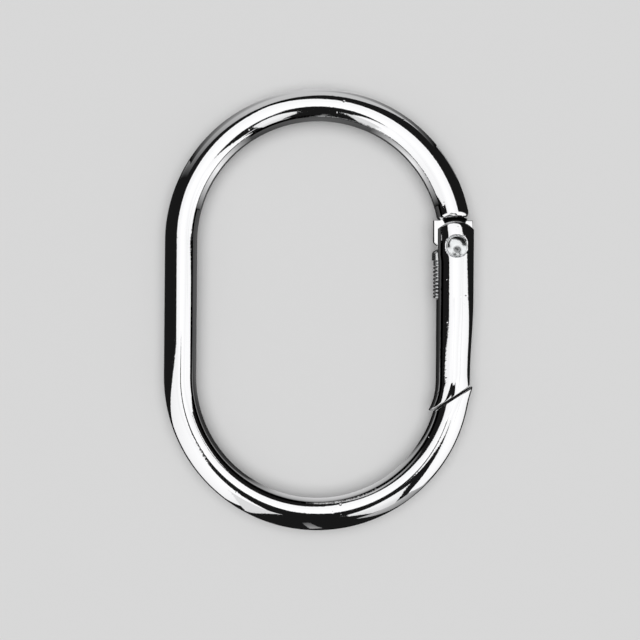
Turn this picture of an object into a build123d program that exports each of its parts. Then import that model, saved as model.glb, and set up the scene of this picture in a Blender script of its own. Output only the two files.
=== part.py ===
from build123d import *
import os
from math import asin, atan2, cos, degrees, hypot, radians, sin, sqrt, tan

# Oval spring gate ring: a round-wire oval with a sprung gate in one long side.
# The ring lies flat in its own mid-plane.  +Y runs along the oval, +X points to the gate side
# and +Z is up.  The origin is under the middle of the part's box, on the surface it lies on.

os.makedirs("parts", exist_ok=True)

# ---- driving dimensions, millimetres and degrees --------------------------------------------
# oval ring
wire_d = 4.25            # round wire of the ring
opening_w = 32.0         # clear width between the two long sides
opening_l = 49.8         # clear length between the two end arcs
# gate, a cast rod that is a little thicker than the wire
gate_d = 4.9             # gate's section at the hinge and along its middle
gate_tip_d = 4.5         # gate's section where it starts to follow the end arc
gate_full_run = 7.0      # length below the pin that keeps the full section
tip_inset = 0.19         # gate's end sits this far inside the ring's centre line
# hinge
pin_drop = 0.45          # the hinge pin lies this far below the start of the top arc
shank_d = 1.6            # rivet's shank
ear_r = 3.25             # rounded end of the gate's ears, about the pin
shoulder_gap = 0.45      # space between the ears and the ring's hollow shoulder
shoulder_round = 0.55    # rounded lip of that shoulder
tongue_t = 1.45          # flattened end of the wire
tongue_w = 5.3           # its width
tongue_top = 3.45        # its square corners stand this far above the pin
tongue_shift = 0.38      # its middle lies this far inside the pin
neck_w = 3.4             # neck between the tongue and the wire
heel_r = 1.45            # round heel of the tongue under the pin
cam_corner_r = 0.5       # rounded corner that pushes the plunger
cam_corner_up = 0.75     # height of that corner's centre above the pin
stop_up = 2.3            # ledge above the pin that the gate's back stops against
# rivet heads
head_d = 2.75
head_h = 0.85
head_rim = 0.3           # straight rim of a head
seat_drop = 0.45         # depth of the flat seat that each head has in the gate
seat_margin = 0.12       # seat's edge outside the head
# plunger and spring
plunger_d = 1.45
plunger_body = 0.75      # straight part of the plunger's head
stem_d = 0.62
peg_l = 1.5              # peg on the end wall of the channel, inside the spring
spring_d = 1.4           # outer diameter
spring_wire_d = 0.26
spring_turns = 10.5
channel_l = 6.95         # the channel's end wall lies this far below the pin
channel_floor = 1.38     # the channel's floor lies this far inside the pin
spring_axis_in = 2.2     # the spring's axis lies this far inside the pin
# latch
latch_drop = 2.59        # the oblique joint crosses the wire this far below the bottom arc's start
latch_angle = 33.6       # slope of the joint, from square across the ring
latch_gap = 0.14
tip_sweep = 26.0         # part of the end arc that the gate's rod follows before it is cut
# travel
gate_open_deg = 32.0
# clearances
side_play = 0.08         # each side of the tongue and of what slides in the channel
pin_play = 0.07          # round the shank in the tongue
rivet_play = 0.02        # round the shank in the ears
stop_play = 0.1          # between the gate's back and its ledge
heel_play = 0.15         # between the heel and the gate's web
cam_play = 0.05          # between the tongue and the plunger
spring_play = 0.04       # between the spring or stem and what it meets
edge_round = 0.25        # rounding of the ears' edges
edge_break = 0.12        # rounding of the latch's edges

# ---- sizes that follow ----------------------------------------------------------------------
wire_r = wire_d / 2
gate_r = gate_d / 2
arc_r = opening_w / 2 + wire_r                     # centre line of the end arcs
half_run = (opening_l - opening_w) / 2             # half of the straight side
pin_x = arc_r
pin_y = half_run - pin_drop
shoulder_r = ear_r + shoulder_gap
slot_w = tongue_t + 2 * side_play
tongue_in = -tongue_shift - tongue_w / 2           # edges of the tongue, from the pin
tongue_out = -tongue_shift + tongue_w / 2
web_in = heel_r + heel_play                        # inner face of the gate's web
head_seat = gate_r - seat_drop                     # height of a head's flat seat
seat_r = head_d / 2 + seat_margin
rim_out = pin_x + gate_r
ring_out = arc_r + wire_r
mid_z = head_seat + head_h                         # the mid-plane's height off the surface
mid_x = (ring_out - rim_out) / 2
mid = Plane(origin=(mid_x, 0, mid_z))

reach = 2 * gate_d                                 # longer than any section, for cutters


def from_pin(x, y):
    """A point given from the hinge pin, in the mid-plane's own x and y."""
    return (pin_x + x, pin_y + y)


def turned(x, y, angle):
    """A point turned about the pin, counter-clockwise."""
    a = radians(angle)
    return (x * cos(a) - y * sin(a), x * sin(a) + y * cos(a))


# the tongue's cam: a straight flank from its lower inner corner down to its heel
corner_x = tongue_in + cam_corner_r
flank_angle = degrees(
    atan2(-cam_corner_up, -corner_x) - asin((heel_r - cam_corner_r) / hypot(corner_x, cam_corner_up))
)
flank_out = (sin(radians(flank_angle)), -cos(radians(flank_angle)))
flank_top = (corner_x + cam_corner_r * flank_out[0], cam_corner_up + cam_corner_r * flank_out[1])
flank_end = (heel_r * flank_out[0], heel_r * flank_out[1])

# the plunger's round nose rests on that flank, which drives it down the channel
nose_r = plunger_d / 2
nose_x = -spring_axis_in


def nose_height(opened):
    """Height of the nose's centre, in the gate, when the flank has turned by that angle."""
    top = turned(*flank_top, opened)
    out = turned(*flank_out, opened)
    return top[1] + (nose_r + cam_play - (nose_x - top[0]) * out[0]) / out[1]


nose_y = nose_height(0)
plunger_travel = nose_y - nose_height(gate_open_deg)
plunger_back = nose_y - plunger_body
stem_l = channel_l + plunger_back - peg_l - plunger_travel - spring_play

# the tongue's slot in the gate: the flank where it stands with the gate fully open
open_flank = radians(flank_angle + gate_open_deg)
pocket_end = (web_in * sin(open_flank), -web_in * cos(open_flank))
pocket_y = pocket_end[1] - (channel_floor + pocket_end[0]) * tan(open_flank)
back_top = stop_up - stop_play                     # top of the gate's web, above the pin

# the oblique latch joint
latch_mid = (sqrt(arc_r**2 - latch_drop**2), -half_run - latch_drop)
latch_dir = (cos(radians(latch_angle)), sin(radians(latch_angle)))
latch_down = (latch_dir[1], -latch_dir[0])         # from the gate towards the ring's nose


def latch_cutter(side):
    """Outline of what the joint takes away: side 1 below its line, side -1 above it."""
    near = -side * latch_gap / 2
    far = side * reach
    corners = [(-reach, near), (reach, near), (reach, far), (-reach, far)]
    return [
        (
            latch_mid[0] + along * latch_dir[0] + off * latch_down[0],
            latch_mid[1] + along * latch_dir[1] + off * latch_down[1],
        )
        for along, off in corners
    ]


def on_pin_radius(radius):
    """A test for edges that lie wholly on a cylinder about the hinge pin."""
    axis = mid.from_local_coords(from_pin(0, 0))

    def test(edge):
        points = [edge @ t for t in (0.1, 0.5, 0.9)]
        return all(abs(hypot(p.X - axis.X, p.Y - axis.Y) - radius) < 0.01 for p in points)

    return test


def on_latch(face):
    """A test for flat faces that lie square to the latch's slope."""
    return abs(face.normal_at().X * latch_down[0] + face.normal_at().Y * latch_down[1]) > 0.9999


# ---- ring body: the bent wire, its hollow shoulder, its tongue and its oblique nose ----------
with BuildPart() as ring_body:
    with BuildLine(mid) as ring_line:
        top_arc = CenterArc((0, half_run), arc_r, 0, 180)
        far_side = Line((-arc_r, half_run), (-arc_r, -half_run))
        bottom_arc = CenterArc((0, -half_run), arc_r, 180, 180)
    with BuildSketch(Plane(origin=ring_line.line @ 0, z_dir=ring_line.line % 0)):
        Circle(wire_r)
    sweep(path=ring_line.line)
    with BuildSketch(mid):
        with Locations(from_pin(0, 0)):
            Circle(shoulder_r)
        with BuildLine():
            Polyline(latch_cutter(-1), close=True)
        make_face()
    extrude(amount=reach, both=True, mode=Mode.SUBTRACT)
    fillet(ring_body.edges().filter_by(on_pin_radius(shoulder_r)), shoulder_round)
    fillet(ring_body.faces().filter_by(on_latch).edges(), edge_break)
    with BuildSketch(mid):
        with BuildLine():
            neck_top = shoulder_r + wire_r / 2
            neck_in = -tongue_shift - neck_w / 2
            neck_out = -tongue_shift + neck_w / 2
            flank = Line(from_pin(*flank_top), from_pin(*flank_end))
            heel = CenterArc(from_pin(0, 0), heel_r, flank_angle - 90, 90 - flank_angle)
            Polyline(
                heel @ 1,
                from_pin(heel_r, stop_up),
                from_pin(tongue_out, stop_up),
                from_pin(tongue_out, tongue_top),
                from_pin(neck_out, tongue_top),
                from_pin(neck_out, neck_top),
                from_pin(neck_in, neck_top),
                from_pin(neck_in, tongue_top),
                from_pin(tongue_in, tongue_top),
                from_pin(tongue_in, cam_corner_up),
            )
            CenterArc(from_pin(corner_x, cam_corner_up), cam_corner_r, 180, flank_angle + 90)
        make_face()
        with Locations(from_pin(0, 0)):
            Circle(shank_d / 2 + pin_play, mode=Mode.SUBTRACT)
    extrude(amount=tongue_t / 2, both=True)
ring_body.part.label = "ring_body"
export_step(ring_body.part, "parts/ring_body.step")

# ---- gate: a cast rod with rounded ears, a slot for the tongue and a channel for the spring --
with BuildPart() as gate:
    ear_plane = Plane(origin=mid.from_local_coords((pin_x, pin_y + 2 * ear_r, 0)), z_dir=(0, -1, 0))
    full_end = Plane(origin=mid.from_local_coords((pin_x, pin_y - gate_full_run, 0)), z_dir=(0, -1, 0))
    tip_start = Plane(origin=mid.from_local_coords((pin_x - tip_inset, -half_run, 0)), z_dir=(0, -1, 0))
    with BuildSketch(ear_plane):
        Circle(gate_r)
    extrude(amount=2 * ear_r + gate_full_run)
    with BuildSketch(full_end):
        Circle(gate_r)
    with BuildSketch(tip_start):
        Circle(gate_tip_d / 2)
    loft()
    with BuildLine(mid) as tip_line:
        CenterArc((0, -half_run), arc_r - tip_inset, 0, -tip_sweep)
    with BuildSketch(tip_start):
        Circle(gate_tip_d / 2)
    sweep(path=tip_line.line)
    # rounded ears, and the oblique end that meets the nose
    with BuildSketch(mid):
        with BuildLine():
            Polyline(
                from_pin(-reach, 0), from_pin(-reach, reach), from_pin(reach, reach), from_pin(reach, 0),
                close=True,
            )
        make_face()
        with Locations(from_pin(0, 0)):
            Circle(ear_r, mode=Mode.SUBTRACT)
        with BuildLine():
            Polyline(latch_cutter(1), close=True)
        make_face()
    extrude(amount=reach, both=True, mode=Mode.SUBTRACT)
    fillet(gate.edges().filter_by(on_pin_radius(ear_r)), edge_round)
    fillet(gate.faces().filter_by(on_latch).edges(), edge_break)
    # slot for the tongue and channel for the spring, open towards the inside of the ring
    with BuildSketch(mid):
        with BuildLine():
            Polyline(
                from_pin(0, 0),
                from_pin(web_in, 0),
                from_pin(web_in, back_top),
                from_pin(reach, back_top),
                from_pin(reach, reach),
                from_pin(-reach, reach),
                from_pin(-reach, -channel_l),
                from_pin(-channel_floor, -channel_l),
                from_pin(-channel_floor, pocket_y),
                from_pin(*pocket_end),
                close=True,
            )
        make_face()
        with Locations(from_pin(0, 0)):
            Circle(web_in)
    extrude(amount=slot_w / 2, both=True, mode=Mode.SUBTRACT)
    with BuildSketch(mid):
        with Locations(from_pin(0, 0)):
            Circle(shank_d / 2 + rivet_play)
    extrude(amount=reach, both=True, mode=Mode.SUBTRACT)
    for side in (1, -1):
        with BuildSketch(mid.offset(side * head_seat)):
            with Locations(from_pin(0, 0)):
                Circle(seat_r)
        extrude(amount=side * seat_drop, mode=Mode.SUBTRACT)
    peg_plane = Plane(
        origin=mid.from_local_coords((pin_x - spring_axis_in, pin_y - channel_l - peg_l, 0)), z_dir=(0, 1, 0)
    )
    with BuildSketch(peg_plane):
        Circle(stem_d / 2)
    extrude(amount=2 * peg_l)
gate.part.label = "gate"
export_step(gate.part, "parts/gate.step")

# ---- hinge rivet: a shank with a hammered head on each side ----------------------------------
with BuildPart() as hinge_rivet:
    with BuildSketch(Plane(origin=mid.from_local_coords(from_pin(0, 0)), x_dir=(1, 0, 0), z_dir=(0, -1, 0))):
        with BuildLine():
            top = head_seat + head_h
            rim = head_seat + head_rim
            upper = TangentArc((0, top), (head_d / 2, rim), tangent=(1, 0))
            lower = TangentArc((0, -top), (head_d / 2, -rim), tangent=(1, 0))
            Polyline(
                upper @ 1,
                (head_d / 2, head_seat),
                (shank_d / 2, head_seat),
                (shank_d / 2, -head_seat),
                (head_d / 2, -head_seat),
                lower @ 1,
            )
            Line(lower @ 0, upper @ 0)
        make_face()
    revolve(axis=Axis(mid.from_local_coords(from_pin(0, 0)), (0, 0, 1)))
hinge_rivet.part.label = "hinge_rivet"
export_step(hinge_rivet.part, "parts/hinge_rivet.step")

# ---- plunger: a round-nosed head on a stem that guides the spring ----------------------------
nose_point = mid.from_local_coords(from_pin(nose_x, nose_y))
with BuildPart() as plunger:
    with BuildSketch(Plane(origin=nose_point, x_dir=(1, 0, 0), z_dir=(0, 0, 1))):
        with BuildLine():
            CenterArc((0, 0), nose_r, 0, 90)
            Polyline(
                (0, nose_r),
                (0, -plunger_body - stem_l),
                (stem_d / 2, -plunger_body - stem_l),
                (stem_d / 2, -plunger_body),
                (nose_r, -plunger_body),
                (nose_r, 0),
            )
        make_face()
    revolve(axis=Axis(nose_point, (0, 1, 0)))
plunger.part.label = "plunger"
export_step(plunger.part, "parts/plunger.step")

# ---- coil spring: a round wire wound on the plunger's axis, its ends ground flat -------------
spring_end = plunger_back - spring_play
spring_l = spring_end + channel_l
spring_foot = mid.from_local_coords(from_pin(nose_x, -channel_l))
pitch = spring_l / (spring_turns - 1)
coil_r = (spring_d - spring_wire_d) / 2
with BuildPart() as coil_spring:
    with BuildLine():
        coil = Helix(
            pitch=pitch,
            height=pitch * spring_turns,
            radius=coil_r,
            center=spring_foot - Vector(0, pitch / 2, 0),
            direction=(0, 1, 0),
        )
    with BuildSketch(Plane(origin=coil @ 0, z_dir=coil % 0)):
        Circle(spring_wire_d / 2)
    sweep(path=coil, is_frenet=True)
    with BuildSketch(Plane(origin=spring_foot, x_dir=(1, 0, 0), z_dir=(0, 1, 0))):
        Circle(spring_d)
    extrude(amount=spring_l, mode=Mode.INTERSECT)
coil_spring.part.label = "coil_spring"
export_step(coil_spring.part, "parts/coil_spring.step")
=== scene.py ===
"""Looks of an oval spring gate ring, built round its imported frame.

Laid out as an add-on: property groups hold the sizes and colours, one operator makes each piece
or group of pieces, and a panel in the sidebar lists them. Lengths inside the shape functions are
millimetres in the frame's own axes, and a finished mesh is scaled to metres once, at the end.
"""

import bmesh
import bpy
import numpy as np
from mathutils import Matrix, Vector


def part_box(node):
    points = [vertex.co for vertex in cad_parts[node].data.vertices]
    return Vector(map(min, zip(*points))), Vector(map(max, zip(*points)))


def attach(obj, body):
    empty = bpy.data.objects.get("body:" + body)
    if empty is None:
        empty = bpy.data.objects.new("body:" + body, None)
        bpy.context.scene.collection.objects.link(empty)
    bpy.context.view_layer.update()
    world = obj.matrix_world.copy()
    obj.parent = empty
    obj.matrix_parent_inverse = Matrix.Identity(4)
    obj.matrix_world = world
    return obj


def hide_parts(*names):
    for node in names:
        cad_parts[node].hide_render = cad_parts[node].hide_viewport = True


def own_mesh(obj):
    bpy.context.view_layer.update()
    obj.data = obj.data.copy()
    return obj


bl_info = {
    "name": "Oval Spring Gate Ring",
    "version": (1, 0, 0),
    "blender": (4, 5, 0),
    "location": "3D View > Sidebar > Gate Ring",
    "description": "Builds the plated surfaces, finishes and studio of an oval spring gate ring",
    "category": "Object",
}

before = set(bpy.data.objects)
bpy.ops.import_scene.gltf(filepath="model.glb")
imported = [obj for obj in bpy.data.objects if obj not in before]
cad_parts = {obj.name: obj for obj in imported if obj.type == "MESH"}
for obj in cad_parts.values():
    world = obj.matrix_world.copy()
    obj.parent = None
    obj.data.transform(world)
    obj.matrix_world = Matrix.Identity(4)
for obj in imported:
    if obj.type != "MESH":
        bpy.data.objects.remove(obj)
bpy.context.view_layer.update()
MM = 0.001


# ---- places read from the frame, in millimetres ---------------------------------------------


def node_box(node):
    """Lowest and highest corner of a CAD node, in millimetres."""
    low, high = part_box(node)
    return np.array(low) / MM, np.array(high) / MM


RING_LOW, RING_HIGH = node_box("ring_body")
GATE_LOW, GATE_HIGH = node_box("gate")
RIVET_LOW, RIVET_HIGH = node_box("hinge_rivet")
PLUNGER_LOW, PLUNGER_HIGH = node_box("plunger")
SPRING_LOW, SPRING_HIGH = node_box("coil_spring")

PIN = (RIVET_LOW + RIVET_HIGH) / 2                  # middle of the hinge rivet
WIRE_R = (RING_HIGH[2] - RING_LOW[2]) / 2
GATE_R = (GATE_HIGH[2] - GATE_LOW[2]) / 2
EAR_R = GATE_HIGH[1] - PIN[1]                       # round end of the gate's ears
MIDDLE_X = (RING_LOW[0] + WIRE_R + PIN[0]) / 2
ARC_R = PIN[0] - MIDDLE_X                           # centre line of the end arcs
HALF_RUN = RING_HIGH[1] - ARC_R - WIRE_R            # half of the straight side
TOP_ARC = np.pi * ARC_R                             # lengths along the wire's centre line
LONG_SIDE = 2 * HALF_RUN
TIP_RUN = PIN[1] + HALF_RUN                         # from the pin down to the bottom arc

# sizes that more than one surface or finish needs, in millimetres
HEAD_H = 0.85                                       # height of the rivet's heads over their seats
PUNCH_MARK = np.array((0.05, -0.48, 0.0))           # the dent in each head, from the pin
SLOT_TURN = 1.75                                    # the slot's floor bends within this of the pin


# ---- sizes and colours a user would change --------------------------------------------------


def from_hex(code):
    """A colour written as sRGB hex, such as D9DBDC, as linear red, green and blue."""
    srgb = np.array([int(code[i:i + 2], 16) for i in (0, 2, 4)]) / 255
    linear = np.where(srgb <= 0.04045, srgb / 12.92, ((srgb + 0.055) / 1.055) ** 2.4)
    return tuple(float(value) for value in linear)


def length(name, description, size):
    """A length property with its default given in millimetres."""
    return bpy.props.FloatProperty(
        name=name, description=description, default=float(size) * MM, unit="LENGTH", precision=5,
    )


def angle(name, description, degrees):
    """An angle property with its default given in degrees."""
    return bpy.props.FloatProperty(
        name=name, description=description, default=float(np.radians(degrees)), unit="ROTATION",
    )


def colour(name, description, code):
    """A colour property with its default given as sRGB hex."""
    return bpy.props.FloatVectorProperty(
        name=name, description=description, default=from_hex(code), subtype="COLOR",
        min=0.0, max=1.0,
    )


def factor(name, description, value):
    """A plain number between nothing and one."""
    return bpy.props.FloatProperty(
        name=name, description=description, default=value, min=0.0, max=1.0, subtype="FACTOR",
    )


class GateRingForm(bpy.types.PropertyGroup):
    """Sizes of the ring's own details, in the scene's length unit."""

    shoulder_gap: length("Shoulder Gap", "Space between the gate's ears and the ring", 0.58)
    shoulder_round: length("Shoulder Rounding", "Rounded lip of the ring's shoulder", 0.62)
    latch_drop: length("Latch Drop", "Latch below the start of the bottom arc", 2.53)
    latch_slope: angle("Latch Slope", "Slope of the oblique latch joint", 33.6)
    latch_gap: length("Latch Gap", "Opening of the latch joint when shut", 0.32)
    latch_round: length("Latch Rounding", "Rounded edge of both latch faces", 0.12)
    latch_roll: length("Latch Roll", "How far polishing sinks the metal at the latch", 0.26)
    latch_reach: length("Latch Roll Reach", "Length of the polished roll at the latch", 2.0)
    ear_crown: length("Ear Crown", "How far the ears' round ends sink", 0.38)
    gate_tip: length("Gate Tip Diameter", "Gate's section where the bottom arc starts", 4.5)
    gate_full: length("Gate Full Run", "Length below the pin at the full section", 7.0)
    tip_inset: length("Tip Inset", "Gate's end inside the ring's centre line", 0.19)
    tip_flare: length("Tip Flare", "How far the gate's inner point stands proud", 0.36)
    nose_flare: length("Nose Flare", "How far the ring's outer point stands proud", 0.36)
    slot_width: length("Slot Width", "Slot and spring channel in the gate", 1.61)
    channel_end: length("Channel End", "End of the spring channel below the pin", 6.95)
    channel_floor: length("Channel Floor", "Floor of the channel inside the pin", 1.38)
    web_inside: length("Web", "Inner face of the gate's web outside the pin", 1.6)
    tongue_width: length("Tongue Width", "Flattened end of the wire", 5.16)
    tongue_shift: length("Tongue Shift", "Tongue's middle inside the pin", 0.34)
    tongue_root: length("Tongue Root", "Hollow rounding between the tongue and the wire", 0.5)
    tongue_top: length("Tongue Top", "Tongue's corners above the pin", 3.45)
    tongue_thick: length("Tongue Thickness", "Flattened wire's thickness", 1.45)
    casting_ripple: length("Casting Ripple", "Height of the plated surface's waves", 0.004)


class GateRingFinish(bpy.types.PropertyGroup):
    """Colours and polish of the plated and steel pieces."""

    chrome: colour("Chrome", "Bright plate on the ring and the gate", "EBEBEC")
    rivet: colour("Rivet", "Plate on the hammered rivet", "DFE1E2")
    steel: colour("Steel", "Turned plunger and spring wire", "D2D3D4")
    polish: factor("Polish Roughness", "Roughness of the bright plate", 0.035)


class GateRingStudio(bpy.types.PropertyGroup):
    """Floor, lights and camera."""

    floor: colour("Floor", "Pale studio floor", "DCDCDC")
    card: bpy.props.FloatProperty(
        name="Card Brightness", description="Brightness of the white cards", default=1.06, min=0.0,
    )
    ambient: bpy.props.FloatProperty(
        name="Ambient", description="Soft light from all round on the floor", default=0.4, min=0.0,
    )
    overhead: bpy.props.FloatProperty(
        name="Overhead Light", description="Soft light from above on the floor", default=2.0,
        min=0.0,
    )
    camera_height: length("Camera Height", "Camera above the floor", 214.35)
    camera_turn: angle("Camera Turn", "Camera turned about the vertical", 0.467)
    lens: bpy.props.FloatProperty(
        name="Lens", description="Focal length", default=90.0, min=1.0, subtype="DISTANCE_CAMERA",
    )


def millimetres(value):
    """A length property's value in millimetres."""
    return value / MM


# ---- surfaces as whole arrays ---------------------------------------------------------------


def unit(vectors):
    """Vectors along the last axis at length one."""
    return vectors / np.maximum(np.linalg.norm(vectors, axis=-1, keepdims=True), 1e-12)


def smooth(values):
    """Clamped to 0..1 with a level start and end: three times the square less twice the cube."""
    t = np.clip(values, 0.0, 1.0)
    return t * t * (3 - 2 * t)


def points_at(x, y, z):
    """One array of points from three arrays that fit together."""
    return np.stack(np.broadcast_arrays(x, y, z), axis=-1).astype(float)


def halving(past, low, high):
    """Halves the stretch from low to high until past() changes there, for the whole array."""
    for _ in range(40):
        middle = (low + high) / 2
        gone = past(middle)
        high = np.where(gone, middle, high)
        low = np.where(gone, low, middle)
    return (low + high) / 2


def ripple(points, wave, seed):
    """Unevenness from -1 to 1: the mean of sine waves that cross space in seeded directions."""
    chosen = np.random.default_rng(seed)
    total = np.zeros(points.shape[:-1])
    count = 7
    for _ in range(count):
        across = unit(chosen.normal(size=3))
        long = wave * chosen.uniform(0.7, 1.8)
        total += np.sin(points @ across * (2 * np.pi / long) + chosen.uniform(0, 2 * np.pi))
    return total / count


def legs(radius, to_a, to_b):
    """How far a rounding of that radius reaches along both sides of a corner: the radius over
    the tangent of half the angle between them."""
    cosine = np.clip(np.sum(to_a * to_b, axis=-1), -0.999, 0.999)
    return radius / np.tan(np.arccos(cosine) / 2)


def corner(a, vertex, b, steps):
    """Rows of points round a corner from a to b: a rational quadratic curve drawn to the vertex.
    Its weight is the sine of half the corner's angle, which gives an arc where the legs match."""
    cosine = np.sum(unit(a - vertex) * unit(b - vertex), axis=-1, keepdims=True)
    weight = np.sqrt(np.clip((1 - cosine) / 2, 0, 1))
    t = np.linspace(0, 1, steps + 1).reshape(-1, *([1] * a.ndim))
    near, pull, far = (1 - t) ** 2, 2 * t * (1 - t) * weight, t ** 2
    return (near * a + pull * vertex + far * b) / (near + pull + far)


def between(a, b, steps):
    """Rows of points on straight lines from a to b, without the first row."""
    t = np.linspace(0, 1, steps + 1)[1:].reshape(-1, *([1] * a.ndim))
    return a + (b - a) * t


def spaced(low, high, step):
    """Even values from low to high, no further apart than step."""
    return np.linspace(low, high, int(np.ceil((high - low) / step)) + 1)


def grid_faces(rows, columns, closed, first):
    """Corner numbers of the quads between the rows of a grid, closed round or open."""
    across = columns if closed else columns - 1
    r, c = np.meshgrid(np.arange(rows - 1), np.arange(across), indexing="ij")
    after = (c + 1) % columns
    quads = np.stack([r * columns + c, r * columns + after,
                      (r + 1) * columns + after, (r + 1) * columns + c], axis=-1)
    return quads.reshape(-1, 4) + first


def make_piece(name, patches, ends=()):
    """One mesh object from grids of points, in metres at the origin: each patch is a grid and
    whether its rows close. Points that meet are merged, and the faces turned outwards. ends are
    rows of points that are filled with one flat face. Edges over 35 degrees stay sharp."""
    points, faces, first = [], [], 0
    for grid, closed in patches:
        rows, columns = grid.shape[:2]
        points.append(grid.reshape(-1, 3))
        faces += grid_faces(rows, columns, closed, first).tolist()
        first += rows * columns
    for row in ends:
        points.append(row.reshape(-1, 3))
        faces.append(list(range(first, first + len(row))))
        first += len(row)
    mesh = bpy.data.meshes.new(name)
    mesh.from_pydata(np.concatenate(points) * MM, [], faces)
    shape = bmesh.new()
    shape.from_mesh(mesh)
    bmesh.ops.remove_doubles(shape, verts=shape.verts, dist=0.0004 * MM)
    bmesh.ops.dissolve_degenerate(shape, edges=shape.edges, dist=0.0002 * MM)
    bmesh.ops.recalc_face_normals(shape, faces=shape.faces)
    shape.to_mesh(mesh)
    shape.free()
    mesh.shade_smooth()
    mesh.set_sharp_from_angle(angle=np.radians(35.0))
    piece = bpy.data.objects.new(name, mesh)
    bpy.context.scene.collection.objects.link(piece)
    return piece


def dress(piece, material, body, node):
    """Gives a piece its material, the body it rides on and the node it stands for."""
    piece.data.materials.append(material)
    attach(piece, body)
    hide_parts(node)


# ---- the latch, shared by the ring's nose and the gate's end --------------------------------


def latch_line(form):
    """A point on the latch joint's middle plane and the plane's direction towards the nose."""
    drop = millimetres(form.latch_drop)
    along = (np.cos(form.latch_slope), np.sin(form.latch_slope))
    spot = np.array([MIDDLE_X + np.sqrt(ARC_R ** 2 - drop ** 2), -HALF_RUN - drop, PIN[2]])
    return spot, np.array([along[1], -along[0], 0.0])


def rolled(points, radius, form, side):
    """Points lowered towards the rod's middle height near the latch: by the roll's depth, times
    the square of how far they are into its reach, times the square of their share of the
    radius. It fades out beside the latch, because the latch's plane crosses the ring again
    further round. side is 1 on the nose and -1 on the gate."""
    furthest, fade = 8.0, 2.0
    spot, down = latch_line(form)
    off = side * ((points - spot) @ down) - millimetres(form.latch_gap) / 2
    beside = smooth((furthest - np.linalg.norm(points - spot, axis=-1)) / fade)
    into = beside * np.clip(1 - np.abs(off) / millimetres(form.latch_reach), 0, 1)
    up = points[..., 2] - PIN[2]
    sunk = millimetres(form.latch_roll) * into ** 2 * up * np.abs(up) / radius ** 2
    return points - points_at(0, 0, 1) * sunk[..., None]


def latch_end(surface, stations, around, heart, form, steps=5, rings=7):
    """Rounded edge and flat face of a rod's oblique end, as rows from the rod to a pole: the
    edge is a corner curve between the rod's own line and the latch plane, which never reaches
    halfway to the heart, and the face's rings shrink straight to the point where the plane
    crosses the rod's heart line."""
    a_little = 0.05
    edge = surface(stations, around)
    back = unit(surface(stations - a_little, around) - edge)
    inward = unit(heart - edge)
    reach = legs(millimetres(form.latch_round), back, inward)
    reach = np.minimum(reach, 0.45 * np.linalg.norm(heart - edge, axis=-1))
    start = surface(stations - reach, around)
    finish = edge + reach[:, None] * inward
    rows = corner(start, edge, finish, steps)
    face = between(finish, np.broadcast_to(heart, finish.shape), rings)
    return stations - reach, np.concatenate([rows, face])


# ---- ring -----------------------------------------------------------------------------------


def wire_line(s):
    """Middle of the ring's wire at a length s from the start of the top arc, anticlockwise, and
    the direction away from the oval: an arc, the far straight side and the bottom arc."""
    on_top = s < TOP_ARC
    on_side = ~on_top & (s < TOP_ARC + LONG_SIDE)
    turn = np.where(on_top, s / ARC_R, np.where(on_side, np.pi, (s - LONG_SIDE) / ARC_R))
    start = np.where(on_top, HALF_RUN, np.where(on_side, HALF_RUN - (s - TOP_ARC), -HALF_RUN))
    x = MIDDLE_X + ARC_R * np.cos(turn)
    y = start + ARC_R * np.where(on_side, 0.0, np.sin(turn))
    return x, y, np.cos(turn), np.sin(turn)


def ring_surface(form):
    """The wire's surface as a function of s along it and the angle around it, 0 outwards and a
    quarter turn up: the middle line plus the wire's radius, with the plate's ripple and a
    swelling on the outer side of the nose. It grows with the square of the way to the nose's
    point and fades round the wire with a power of the cosine."""
    flare = millimetres(form.nose_flare)
    height = millimetres(form.casting_ripple)
    long_wave, short_wave = 5.0, 2.2
    flare_run = 2.4
    point_turn = np.pi - 0.055                          # the nose's point, round the bottom arc
    point_s = TOP_ARC + LONG_SIDE + ARC_R * point_turn

    def surface(s, around):
        s, around = np.broadcast_arrays(s, around)
        x, y, out_x, out_y = wire_line(s)
        level = points_at(np.cos(around) * out_x, np.cos(around) * out_y, np.sin(around))
        middle = points_at(x, y, PIN[2])
        grown = np.clip((s - point_s) / flare_run + 1, 0, 1.2) ** 2
        radius = WIRE_R + flare * grown * np.clip(np.cos(around), 0, 1) ** 1.5
        plain = middle + radius[..., None] * level
        wave = height * (ripple(plain, long_wave, 4) + 0.5 * ripple(plain, short_wave, 9))
        return rolled(plain + wave[..., None] * level, radius, form, 1)

    return surface


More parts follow.
